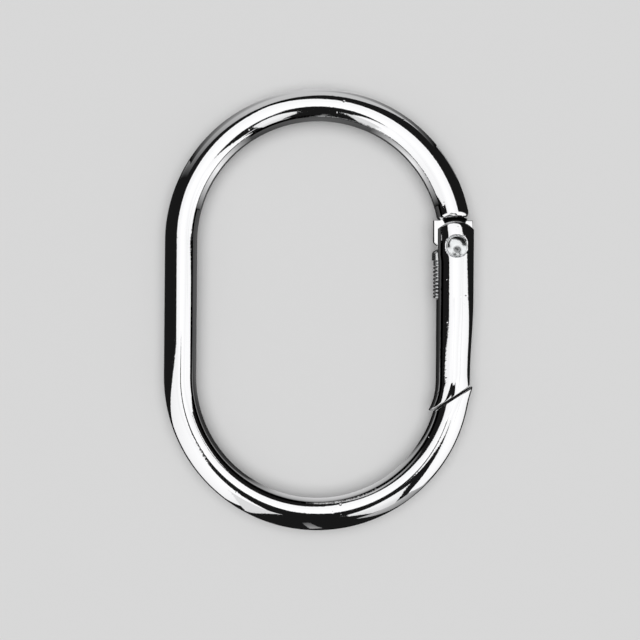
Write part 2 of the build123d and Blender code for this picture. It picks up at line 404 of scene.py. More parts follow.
def ring_patches(form):
    """The whole wire as one closed grid. Its first rows shrink to a pole on the hollow shoulder,
    a cylinder about the hinge pin, and are laid out flat there: angle about the pin and height.
    Then come the shoulder's rounded lip, the wire, and the nose's oblique end."""
    surface = ring_surface(form)
    around = np.linspace(0, 2 * np.pi, 144, endpoint=False)
    hollow = EAR_R + millimetres(form.shoulder_gap)

    def clear_of_ears(s):
        points = surface(s, around)
        return np.hypot(points[:, 0] - PIN[0], points[:, 1] - PIN[1]) > hollow

    def on_hollow(bearings, heights):
        return points_at(PIN[0] + hollow * np.cos(bearings), PIN[1] + hollow * np.sin(bearings),
                         PIN[2] + heights)

    near = np.full(around.shape, 0.5)
    cut = halving(clear_of_ears, near, near + 8.0)
    edge = surface(cut, around)
    bearing = np.arctan2(edge[:, 1] - PIN[1], edge[:, 0] - PIN[0])
    height = edge[:, 2] - PIN[2]
    heart_x, heart_y = wire_line(np.array(hollow))[:2]
    heart_bearing = np.arctan2(heart_y - PIN[1], heart_x - PIN[0])

    a_little = 0.05
    flat = unit(np.stack([(heart_bearing - bearing) * hollow, -height], axis=-1))
    beside = on_hollow(bearing + flat[:, 0] * a_little / hollow, height + flat[:, 1] * a_little)
    along = unit(surface(cut + a_little, around) - edge)
    reach = legs(millimetres(form.shoulder_round), along, unit(beside - edge))
    bearing = bearing + flat[:, 0] * reach / hollow
    height = height + flat[:, 1] * reach
    first = cut + reach
    lip = corner(on_hollow(bearing, height), edge, surface(first, around), 10)
    shrink = np.linspace(0, 1, 9)[:, None]
    face = on_hollow(heart_bearing + (bearing - heart_bearing) * shrink, height * shrink)

    spot, down = latch_line(form)
    half_gap = millimetres(form.latch_gap) / 2
    near = np.full(around.shape, TOP_ARC + LONG_SIDE + 0.6 * TOP_ARC)
    last = halving(lambda s: (surface(s, around) - spot) @ down < half_gap, near,
                   near + 0.42 * TOP_ARC)
    last, end = latch_end(surface, last, around, spot + down * half_gap, form)

    # rows along the wire, closer together at the hinge and at the latch
    share = np.concatenate([spaced(0, 0.02, 0.001)[:-1], spaced(0.02, 0.96, 0.0026)[:-1],
                            spaced(0.96, 1, 0.0012)])[:, None]
    rod = surface(first + (last - first) * share, around)
    return [(np.concatenate([face, lip[1:], rod[1:-1], end]), True)]


def tongue_patches(form):
    """The wire's flattened end: an outline of straight runs and arcs about the hinge pin,
    carried through the thickness along a profile with rounded edges, and closed flat. The heel's
    arc runs to the cam corner's along the straight line that touches both."""
    inner = -millimetres(form.tongue_shift) - millimetres(form.tongue_width) / 2
    outer = -millimetres(form.tongue_shift) + millimetres(form.tongue_width) / 2
    top = millimetres(form.tongue_top)
    half = millimetres(form.tongue_thick) / 2
    heel, cam, edge = 1.45, 0.5, 0.15                   # radii: heel, cam corner, edges
    cam_up, ledge = 0.75, 2.3                           # heights above the pin
    neck_in, neck_out, neck_top = -2.08, 1.32, 4.76     # sides and top of the neck, from the pin
    cam_x = inner + cam
    flank = np.arctan2(-cam_up, -cam_x) - np.arcsin((heel - cam) / np.hypot(cam_x, cam_up))

    def arc(x, y, radius, start, stop):
        t = np.linspace(start, stop, 17)
        return np.stack([x + radius * np.cos(t), y + radius * np.sin(t)], axis=-1)

    heel_arc = arc(0, 0, heel, flank - np.pi / 2, 0)
    square = np.array([(heel, ledge), (outer, ledge), (outer, top), (neck_out, top),
                       (neck_out, neck_top), (neck_in, neck_top), (neck_in, top), (inner, top)])
    cam_arc = arc(cam_x, cam_up, cam, np.pi, np.pi * 1.5 + flank)
    outline = np.concatenate([heel_arc, square, cam_arc])
    after = unit(np.roll(outline, -1, axis=0) - outline)
    before = unit(outline - np.roll(outline, 1, axis=0))
    side = unit(after + before)
    inwards = np.stack([-side[:, 1], side[:, 0]], axis=-1)
    turn = np.linspace(0, np.pi / 2, 5)
    inset = np.concatenate([edge * (1 - np.sin(turn)), edge * (1 - np.cos(turn))])
    level = np.concatenate([edge * (1 - np.cos(turn)) - half, half - edge * (1 - np.sin(turn))])
    flat = PIN[:2] + outline + inset[:, None, None] * inwards
    grid = points_at(flat[..., 0], flat[..., 1], PIN[2] + level[:, None])
    return [(grid, True)], (grid[0], grid[-1])


def root_patches(form):
    """The hollow corner between the tongue and the shoulder, above and below the tongue: a quarter
    round carried about the pin, closed behind by the tongue and the wire. Its dark finish is
    painted shade in that recess."""
    root = millimetres(form.tongue_root)
    half = millimetres(form.tongue_thick) / 2
    wall = EAR_R + millimetres(form.shoulder_gap)
    back, deep, proud = wall + 0.1, 0.4, 0.01     # inside the wire and the tongue, off it
    outer, inner = 1.55, -1.9     # ends of the corner, from the pin
    bend = np.linspace(0, np.pi / 2, 13)
    away = np.concatenate([wall - root + root * np.sin(bend), [back, back, wall - root]])
    rise = np.concatenate([half + root - root * np.cos(bend) + proud, [half + root, deep, deep]])
    bearing = np.linspace(np.arctan2(wall, outer), np.arctan2(wall, inner), 33)[:, None]
    roots = [points_at(PIN[0] + away * np.cos(bearing), PIN[1] + away * np.sin(bearing),
                       PIN[2] + side * rise) for side in (1, -1)]
    ends = (roots[0][0], roots[0][-1], roots[1][0], roots[1][-1])
    return [(roots[0], True), (roots[1], True)], ends


# ---- gate -----------------------------------------------------------------------------------


def gate_surface(form):
    """The gate's rod as a function of s, the length below the pin, and the angle around it, 0
    outwards and a quarter turn up: a straight run that narrows and moves inwards smoothly, then
    the bottom arc, with a swelling on the inner side that grows with the square of the way to
    its point. At the ears the slot's lips stand proud by a smooth step down the gate and round
    it, the tops sink with a power of the way to their end, and the rivet's heads have flat
    seats."""
    inset = millimetres(form.tip_inset)
    full = millimetres(form.gate_full)
    tip_r = millimetres(form.gate_tip) / 2
    flare = millimetres(form.tip_flare)
    height = millimetres(form.casting_ripple)
    crown = millimetres(form.ear_crown)
    long_wave, short_wave = 4.5, 2.0
    flare_start, flare_run = TIP_RUN + 1.6, 3.6
    lip_proud, lip_end, lip_fade = 0.1, 2.2, 1.2
    crown_start, crown_power, crown_level = 0.2, 3.7, 0.9
    seat_level = (RIVET_HIGH[2] - RIVET_LOW[2]) / 2 - HEAD_H
    seat_r = (RIVET_HIGH[0] - RIVET_LOW[0]) / 2 + 0.12
    seat_edge = 0.1

    def surface(s, around):
        s, around = np.broadcast_arrays(s, around)
        narrow = smooth((s - full) / (TIP_RUN - full))
        arc_r = ARC_R - inset
        turn = np.clip(s - TIP_RUN, 0, None) / arc_r
        x = PIN[0] - inset * narrow - arc_r * (1 - np.cos(turn))
        y = PIN[1] - np.minimum(s, TIP_RUN) - arc_r * np.sin(turn)
        level = points_at(np.cos(around) * np.cos(turn), -np.cos(around) * np.sin(turn),
                          np.sin(around))
        grown = np.clip((s - flare_start) / flare_run, 0, 1.3) ** 2
        radius = GATE_R + (tip_r - GATE_R) * narrow
        radius = radius + flare * grown * np.clip(-np.cos(around), 0, 1) ** 1.5
        plain = points_at(x, y, PIN[2]) + radius[..., None] * level
        wave = height * (ripple(plain, long_wave, 21) + 0.5 * ripple(plain, short_wave, 5))
        shape = rolled(plain + wave[..., None] * level, radius, form, -1)
        inner_side = smooth((-np.cos(around) - 0.1) / 0.9)
        shape[..., 0] -= lip_proud * inner_side * smooth((lip_end - s) / lip_fade)
        up = shape[..., 2] - PIN[2]
        share = np.clip((crown_start - s) / (EAR_R + crown_start), 0, 1) ** crown_power
        share = share * np.clip((np.abs(up) - crown_level) / (GATE_R - crown_level), 0, 1)
        up -= np.sign(up) * crown * share
        off = np.hypot(shape[..., 0] - PIN[0], shape[..., 1] - PIN[1])
        sunk = smooth((seat_r + seat_edge / 2 - off) / seat_edge)
        over = np.clip(np.abs(up) - seat_level, 0, None) * sunk
        shape[..., 2] = PIN[2] + up - np.sign(up) * over
        return shape

    return surface


def slot_floor(form, top, rows_above, rows_round, rows_below):
    """The bottom of the gate's slot, point by point down the gate: the web's end, its straight
    inner face, an arc about the pin, and the floor of the spring channel."""
    web = millimetres(form.web_inside)
    floor = -millimetres(form.channel_floor)
    end = -millimetres(form.channel_end)
    third = rows_round // 3
    mouth = -1.49                                       # start of the channel's floor
    sweep = np.radians(95.5)
    above = np.stack([np.full(rows_above, web), np.linspace(top, SLOT_TURN, rows_above)], axis=-1)
    straight = np.stack([np.full(third, web), np.linspace(SLOT_TURN, 0, third + 1)[1:]], axis=-1)
    turn = np.linspace(0, -sweep, rows_round - 2 * third + 1)[1:]
    arc = web * np.stack([np.cos(turn), np.sin(turn)], axis=-1)
    out = np.linspace(arc[-1], (floor, mouth), third - 2)[1:]
    drop = np.linspace((floor, mouth), (floor, -SLOT_TURN), 4)[1:]
    below = np.stack([np.full(rows_below, floor),
                      np.linspace(-SLOT_TURN, end, rows_below + 1)[1:]], axis=-1)
    return np.concatenate([above, straight, arc, out, drop, below])


def gate_patches(form):
    """The gate as one grid whose columns run round a C: half of the outer side, the top, the
    slot's lip, its wall, its floor, and the same below. Past the channel's end the slot's columns
    lie in the rod's own surface, so the C closes. Two ear ends and the latch face close it."""
    surface = gate_surface(form)
    half = millimetres(form.slot_width) / 2
    open_angle = np.arcsin(half / GATE_R)
    lip_x = -np.sqrt(GATE_R ** 2 - half ** 2)
    top = np.sqrt(EAR_R ** 2 - lip_x ** 2)
    lip, edge_round = 0.05, 0.25                        # rounding of the slot's lips, of the ears
    fine, across, steps = 76, 10, 3                     # columns of skin and of floor, of a lip

    rows_above, rows_round, rows_below, rows_tip = 14, 84, 30, 66
    s_above = np.linspace(-top, -SLOT_TURN, rows_above)
    s_round = np.linspace(-SLOT_TURN, SLOT_TURN, rows_round + 1)[1:]
    s_below = np.linspace(SLOT_TURN, millimetres(form.channel_end), rows_below + 1)[1:]
    s_slot = np.concatenate([s_above, s_round, s_below])
    floor = slot_floor(form, top, rows_above, rows_round, rows_below)

    skin = np.linspace(open_angle, np.pi - open_angle - lip / GATE_R, fine + 1)
    skin_x = GATE_R * np.cos(skin)
    ear_y = np.sqrt(EAR_R ** 2 - np.minimum(np.abs(skin_x), -lip_x) ** 2)
    skin_z = GATE_R * np.sin(skin)
    ear_round = np.minimum(edge_round, 0.45 * (skin_z - half))
    share = np.linspace(0, 1, rows_above)[:, None]
    skin_s = np.repeat(s_slot[:, None], fine + 1, axis=1)
    skin_s[:rows_above] = (ear_round - ear_y) * (1 - share) + s_above[-1] * share

    def half_section(sign):
        """Skin, rounded lip and wall above the slot's middle, or below it where sign is -1. The
        first row is the ear's round end, so the wall's points lie on that circle there."""
        face = surface(skin_s, sign * skin)
        last = face[:, -1]
        vertex = points_at(last[:, 0] - 0.01, PIN[1] - skin_s[:, -1], PIN[2] + sign * half)
        inside = vertex + np.array([lip, 0, 0])
        rim = np.moveaxis(corner(last, vertex, inside, steps), 0, 1)[:, 1:]
        depth = -lip_x - inside[0, 0] + PIN[0]
        part = np.clip((skin_x[::-1] - inside[0, 0] + PIN[0]) / depth, 0, 1)[1:]
        base = points_at(PIN[0] + floor[:, 0], PIN[1] + floor[:, 1], PIN[2] + sign * half)
        wall = inside[:, None] + (base - inside)[:, None] * part[None, :, None]
        wall_x = inside[0, 0] - PIN[0] + depth * part
        wall[0] = points_at(PIN[0] + wall_x, PIN[1] + np.sqrt(EAR_R ** 2 - wall_x ** 2),
                            PIN[2] + sign * half)
        return face, rim, wall

    outer = np.arcsin(np.linspace(-half, half, across + 1) / GATE_R)
    outer_face = surface(s_slot[:, None], outer)
    high_skin, high_rim, high_wall = half_section(1)
    low_skin, low_rim, low_wall = half_section(-1)
    level = np.linspace(half, -half, across + 1)[1:-1]
    base = points_at((PIN[0] + floor[:, 0])[:, None], (PIN[1] + floor[:, 1])[:, None],
                     PIN[2] + level)
    base[0] = outer_face[0, ::-1][1:-1]
    high_wall[0, -1] = outer_face[0, -1]
    low_wall[0, -1] = outer_face[0, 0]
    slot = np.concatenate([
        outer_face, high_skin[:, 1:], high_rim, high_wall, base, low_wall[:, ::-1],
        low_rim[:, ::-1], low_skin[:, :0:-1],
    ], axis=1)

    inner = 2 * (steps + fine) + across - 1
    bend = np.linspace(skin[-1], 2 * np.pi - skin[-1], inner + 2)[1:-1]
    around = np.concatenate([outer, skin[1:], bend, -skin[:0:-1]])
    spot, down = latch_line(form)
    half_gap = millimetres(form.latch_gap) / 2
    near = np.full(around.shape, TIP_RUN - 2.5)
    last = halving(lambda s: (surface(s, around) - spot) @ down > -half_gap, near, near + 9.0)
    last, end = latch_end(surface, last, around, spot - down * half_gap, form)
    share = np.linspace(0, 1, rows_tip)[:, None]
    rod = surface(s_slot[-1] + (last - s_slot[-1]) * share, around)
    body = np.concatenate([slot, rod, end[1:]])

    # each ear's end: a rounded edge from the skin's first row, then flat down to the wall's, and
    # a sliver that joins the two sides of the lip
    caps = []
    for sign, skin_row, rim_row, wall_row in (
        (1, high_skin[0], high_rim[0], high_wall[0]),
        (-1, low_skin[0], low_rim[0], low_wall[0]),
    ):
        vertex = surface(-ear_y, sign * skin)
        finish = vertex - points_at(0, 0, sign * ear_round)
        wall = np.concatenate([rim_row[-1:], wall_row])[::-1]
        caps.append((np.concatenate([corner(skin_row, vertex, finish, 5),
                                     between(finish, wall, 4)]), False))
        tips = np.concatenate([skin_row[-1:], rim_row[:steps // 2]])
        backs = np.concatenate([rim_row[-1:], rim_row[-2:-steps // 2 - 2:-1]])
        caps.append((np.stack([tips, backs[:len(tips)]]), False))
    return [(body, True)] + caps


# ---- turned pieces and the spring -----------------------------------------------------------


def turned(profile, columns, axis):
    """A profile of distance from the axis and place along it, carried round the axis."""
    turn = np.linspace(0, 2 * np.pi, columns, endpoint=False)
    away = profile[:, :1] * np.cos(turn)
    across = profile[:, :1] * np.sin(turn)
    along = np.repeat(profile[:, 1:], columns, axis=1)
    if axis == "Z":
        return points_at(away, across, along)
    return points_at(away, along, -across)


def rivet_patches():
    """The rivet: a domed head as part of a sphere, a rolled rim, the head's flat back and the
    shank, the same below, all turned about Z. Each head carries one shallow dent, the bell
    curve of the distance from its middle, and a hammered unevenness."""
    head = (RIVET_HIGH[0] - RIVET_LOW[0]) / 2
    top = (RIVET_HIGH[2] - RIVET_LOW[2]) / 2
    seat = top - HEAD_H
    shank, rim, ball = 0.8, 0.2, 2.3                    # radii
    rim_from, rim_to = np.radians(58), np.radians(-10)
    dent, dent_r, dent_long, peened = 0.1, 0.3, 0.8, 0.012
    t = np.linspace(0, head - rim * 0.62, 30)
    crown = np.stack([t, top - ball + np.sqrt(ball ** 2 - t ** 2)], axis=-1)
    low = crown[-1, 1] - rim * 0.85
    turn = np.linspace(rim_from, rim_to, 12)
    roll = np.stack([head - rim + rim * np.cos(turn), low + rim * np.sin(turn)], axis=-1)
    neck = np.array([(head - 0.06, seat), (shank, seat - 0.01)])
    half = np.concatenate([crown, roll, neck])
    profile = np.concatenate([half, half[::-1] * (1, -1)])
    grid = turned(profile, 96, "Z")
    raised = np.clip((np.abs(grid[..., 2]) - seat - 0.1) / 0.2, 0, 1)
    off = np.hypot(grid[..., 0] - PUNCH_MARK[0], (grid[..., 1] - PUNCH_MARK[1]) / dent_long)
    uneven = dent * np.exp(-(off / dent_r) ** 2) + peened * ripple(grid * (1, 1, 0.3), 1.0, 3)
    grid[..., 2] -= np.sign(grid[..., 2]) * uneven * raised
    return [(grid + PIN, True)]


def plunger_patches():
    """The plunger turned about its own axis: a round nose, a plain body and a thin stem. The
    nose and the body are then widened to an oval."""
    stem, body, edge, widened = 0.31, 0.75, 0.08, 1.22
    stem_edge = 0.06
    radius = (PLUNGER_HIGH[0] - PLUNGER_LOW[0]) / 2
    nose = PLUNGER_HIGH[1] - radius
    back, tail = nose - body, PLUNGER_LOW[1]
    x, z = (PLUNGER_HIGH[0] + PLUNGER_LOW[0]) / 2, (PLUNGER_HIGH[2] + PLUNGER_LOW[2]) / 2
    turn = np.linspace(np.pi / 2, 0, 16)
    dome = np.stack([radius * np.cos(turn), nose + radius * np.sin(turn)], axis=-1)
    rest = np.array([(radius, back + edge), (radius - edge, back), (stem, back),
                     (stem, tail + stem_edge), (stem - stem_edge, tail), (0, tail)])
    grid = turned(np.concatenate([dome, rest]), 48, "Y")
    grid[..., 0] *= np.where(grid[..., 1] > back - 0.01, widened, 1.0)
    return [(grid + (x, 0, z), True)]


def spring_patches():
    """The spring: a round wire carried along a helix about Y whose rise is slow over the end
    turns and even between them, closed by a pole at each end."""
    wire, sides = 0.17, 12                              # the wire's radius and its columns
    turns, end_turn, end_rise = 10.5, 0.9, 0.055
    coil = (SPRING_HIGH[0] - SPRING_LOW[0]) / 2 - wire
    x, z = (SPRING_HIGH[0] + SPRING_LOW[0]) / 2, (SPRING_HIGH[2] + SPRING_LOW[2]) / 2
    t = np.linspace(0, 1, int(turns * 40) + 1)
    ease = end_turn / turns
    rise = np.interp(t, (0, ease, 1 - ease, 1), (0, end_rise, 1 - end_rise, 1))
    low, high = SPRING_LOW[1] + wire, SPRING_HIGH[1] - wire
    turn = 2 * np.pi * turns * t
    line = points_at(x + coil * np.cos(turn), low + (high - low) * rise, z + coil * np.sin(turn))
    out = points_at(np.cos(turn), 0, np.sin(turn))
    round_wire = np.linspace(0, 2 * np.pi, sides, endpoint=False)
    ring = (np.cos(round_wire)[:, None] * out[:, None]
            + np.sin(round_wire)[:, None] * np.array([0.0, 1.0, 0.0]))
    tube = line[:, None] + wire * ring
    first = np.repeat(line[:1], sides, axis=0)[None]
    last = np.repeat(line[-1:], sides, axis=0)[None]
    return [(np.concatenate([first, tube, last]), True)]


# ---- finishes -------------------------------------------------------------------------------


def add_node(tree, kind, settings=(), links=()):
    """Adds one node: settings are names and values of its sockets or of the node itself, and
    links are its sockets with the outputs that feed them."""
    node = tree.nodes.new(kind)
    for name, value in dict(settings).items():
        if name in node.inputs:
            node.inputs[name].default_value = value
        else:
            setattr(node, name, value)
    for name, output in dict(links).items():
        tree.links.new(output, node.inputs[name])
    return node


def new_material(name):
    """An empty node material and its output node."""
    material = bpy.data.materials.new(name)
    material.use_nodes = True
    material.node_tree.nodes.clear()
    return material.node_tree, add_node(material.node_tree, "ShaderNodeOutputMaterial"), material


def plated_metal(name, tint, roughness, grain_mm, pit_mm, depth_mm):
    """Metal plated over a casting: orange peel that is deeper in some patches, and a few shallow
    pits, both as bump at sizes given in millimetres, and a roughness that drifts a little."""
    pit_depth = 0.02
    tree, output, material = new_material(name)
    place = add_node(tree, "ShaderNodeTexCoord").outputs["Object"]
    grain = add_node(tree, "ShaderNodeTexNoise", {"Scale": 1 / (grain_mm * MM), "Detail": 3.0},
                     {"Vector": place})
    pits = add_node(tree, "ShaderNodeTexVoronoi", {"Scale": 1 / (pit_mm * MM)}, {"Vector": place})
    rare = add_node(tree, "ShaderNodeTexNoise", {"Scale": 1 / (6 * pit_mm * MM), "Detail": 1.0},
                    {"Vector": place})
    hollow = add_node(tree, "ShaderNodeMapRange",
                      {"From Min": 0.0, "From Max": 0.2, "To Min": 1.0, "To Max": 0.0},
                      {"Value": pits.outputs["Distance"]})
    few = add_node(tree, "ShaderNodeMapRange",
                   {"From Min": 0.54, "From Max": 0.62, "To Min": 0.0, "To Max": 1.0},
                   {"Value": rare.outputs["Fac"]})
    pitted = add_node(tree, "ShaderNodeMath", {"operation": "MULTIPLY"})
    tree.links.new(hollow.outputs["Result"], pitted.inputs[0])
    tree.links.new(few.outputs["Result"], pitted.inputs[1])
    patchy = add_node(tree, "ShaderNodeMapRange",
                      {"From Min": 0.48, "From Max": 0.62, "To Min": 0.3, "To Max": 1.0},
                      {"Value": rare.outputs["Fac"]})
    peel = add_node(tree, "ShaderNodeMath", {"operation": "MULTIPLY"})
    tree.links.new(grain.outputs["Fac"], peel.inputs[0])
    tree.links.new(patchy.outputs["Result"], peel.inputs[1])
    waves = add_node(tree, "ShaderNodeBump", {"Strength": 1.0, "Distance": depth_mm * MM},
                     {"Height": peel.outputs[0]})
    bump = add_node(tree, "ShaderNodeBump",
                    {"Strength": 1.0, "Distance": pit_depth * MM, "invert": True},
                    {"Height": pitted.outputs[0], "Normal": waves.outputs["Normal"]})
    drift = add_node(tree, "ShaderNodeMapRange",
                     {"To Min": roughness * 0.7, "To Max": roughness * 1.5},
                     {"Value": rare.outputs["Fac"]})
    shader = add_node(tree, "ShaderNodeBsdfPrincipled",
                      {"Base Color": (*tint, 1.0), "Metallic": 1.0},
                      {"Roughness": drift.outputs["Result"], "Normal": bump.outputs["Normal"]})
    tree.links.new(shader.outputs["BSDF"], output.inputs["Surface"])
    return material


def bright_chrome(finish):
    """Bright chromium plate over polished metal: a near mirror whose reflections fray slightly
    over peel of 0.4 mm, with a few pinholes."""
    return plated_metal("bright_chrome_plate", tuple(finish.chrome), finish.polish,
                        grain_mm=0.4, pit_mm=0.9, depth_mm=0.007)


def painted_recess_shade():
    """Painted shade: a dark, dull plate on the hollow corner where the tongue meets the shoulder,
    standing in for the shadow in that recess instead of the mirror's shine."""
    return plated_metal("painted_recess_shade_plate", from_hex("1C1C1C"), 0.45,
                        grain_mm=0.2, pit_mm=0.4, depth_mm=0.004)


def hammered_plate(finish):
    """Nickel-plated steel rivet peened by a hammer: a softer mirror broken up by dents, and painted
    shade in the punch's dent: the plate's colour darkens towards the dent's middle."""
    plate = plated_metal("peened_nickel_plate", tuple(finish.rivet), finish.polish * 5,
                         grain_mm=0.35, pit_mm=0.5, depth_mm=0.02)
    tree = plate.node_tree
    fade = 0.62 * MM
    middle = (PIN + PUNCH_MARK) * MM
    place = add_node(tree, "ShaderNodeTexCoord").outputs["Object"]
    near = add_node(tree, "ShaderNodeMapping",
                    {"Location": (-middle[0] / fade, -middle[1] / fade, 0.0),
                     "Scale": (1 / fade, 1 / fade, 0.0)}, {"Vector": place})
    dent_shade_fade = add_node(tree, "ShaderNodeTexGradient", {"gradient_type": "SPHERICAL"},
                    {"Vector": near.outputs["Vector"]})
    # painted shade: the dent's middle is coloured dark grey, fading out over fade
    painted_dent_shade = add_node(tree, "ShaderNodeMixRGB",
                     {"Color1": (*finish.rivet, 1.0), "Color2": (*from_hex("2A2B2C"), 1.0)},
                     {"Fac": dent_shade_fade.outputs["Fac"]})
    tree.links.new(painted_dent_shade.outputs["Color"], tree.nodes["Principled BSDF"].inputs["Base Color"])
    return plate


def turned_steel(finish):
    """Bare turned steel: greyer and duller than the plate. The tool's real marks are about
    0.05 mm apart; their grain is drawn coarser, so that it shows."""
    return plated_metal("turned_steel", tuple(finish.steel), 0.22,
                        grain_mm=0.12, pit_mm=0.6, depth_mm=0.002)


def spring_steel(finish):
    """Drawn music wire: dull grey with a faint oily sheen. The die's lines are finer than the
    grain that stands for them here, which is as coarse as it needs to show."""
    return plated_metal("drawn_spring_wire", tuple(finish.steel), 0.28,
                        grain_mm=0.15, pit_mm=0.4, depth_mm=0.002)


# ---- operators ------------------------------------------------------------------------------


class GATERING_OT_wire(bpy.types.Operator):
    """Make the bent wire with its hollow shoulder and oblique nose, and its flattened tongue"""

    bl_idname = "gate_ring.wire"
    bl_label = "Bent Wire and Tongue"

    def execute(self, context):
        form = context.scene.gate_ring_form
        chrome = bright_chrome(context.scene.gate_ring_finish)
        for name, (patches, ends), finish in (
            ("bent_wire", (ring_patches(form), ()), chrome),
            ("hinge_tongue", tongue_patches(form), chrome),
            # the hollow corner is a dark sheet of painted shade in the recess
            ("tongue_root", root_patches(form), painted_recess_shade()),
        ):
            piece = make_piece(name, patches, ends)
            dress(piece, finish, "ring", "ring_body")
        return {"FINISHED"}


class GATERING_OT_gate(bpy.types.Operator):
    """Make the sprung gate with its ears, slot and oblique end"""

    bl_idname = "gate_ring.gate"
    bl_label = "Gate"

    def execute(self, context):
        gate = make_piece("gate_casting", gate_patches(context.scene.gate_ring_form))
        chrome = bright_chrome(context.scene.gate_ring_finish)
        dress(gate, chrome, "gate_arm", "gate")
        return {"FINISHED"}


class GATERING_OT_rivet(bpy.types.Operator):
    """Make the hammered hinge rivet"""

    bl_idname = "gate_ring.rivet"
    bl_label = "Hinge Rivet"

    def execute(self, context):
        rivet = make_piece("peened_rivet", rivet_patches())
        plate = hammered_plate(context.scene.gate_ring_finish)
        dress(rivet, plate, "gate_arm", "hinge_rivet")
        return {"FINISHED"}


class GATERING_OT_spring(bpy.types.Operator):
    """Make the plunger and the coil spring that close the gate"""

    bl_idname = "gate_ring.spring"
    bl_label = "Plunger and Spring"

    def execute(self, context):
        finish = context.scene.gate_ring_finish
        plunger = make_piece("nose_plunger", plunger_patches())
        dress(plunger, turned_steel(finish), "plunger_slide", "plunger")
        spring = make_piece("wound_spring", spring_patches())
        dress(spring, spring_steel(finish), "gate_arm", "coil_spring")
        foot = (SPRING_LOW + SPRING_HIGH) / 2
        foot[1] = SPRING_LOW[1]
        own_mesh(spring)
        return {"FINISHED"}


def upright(*feet):
    """Corners of a low card that stands on its feet, each x, y and the brightness there."""
    low = [(x, y, -2, share) for x, y, share in feet]
    high = [(x, y, 4.5, share) for x, y, share in reversed(feet)]
    return low + high


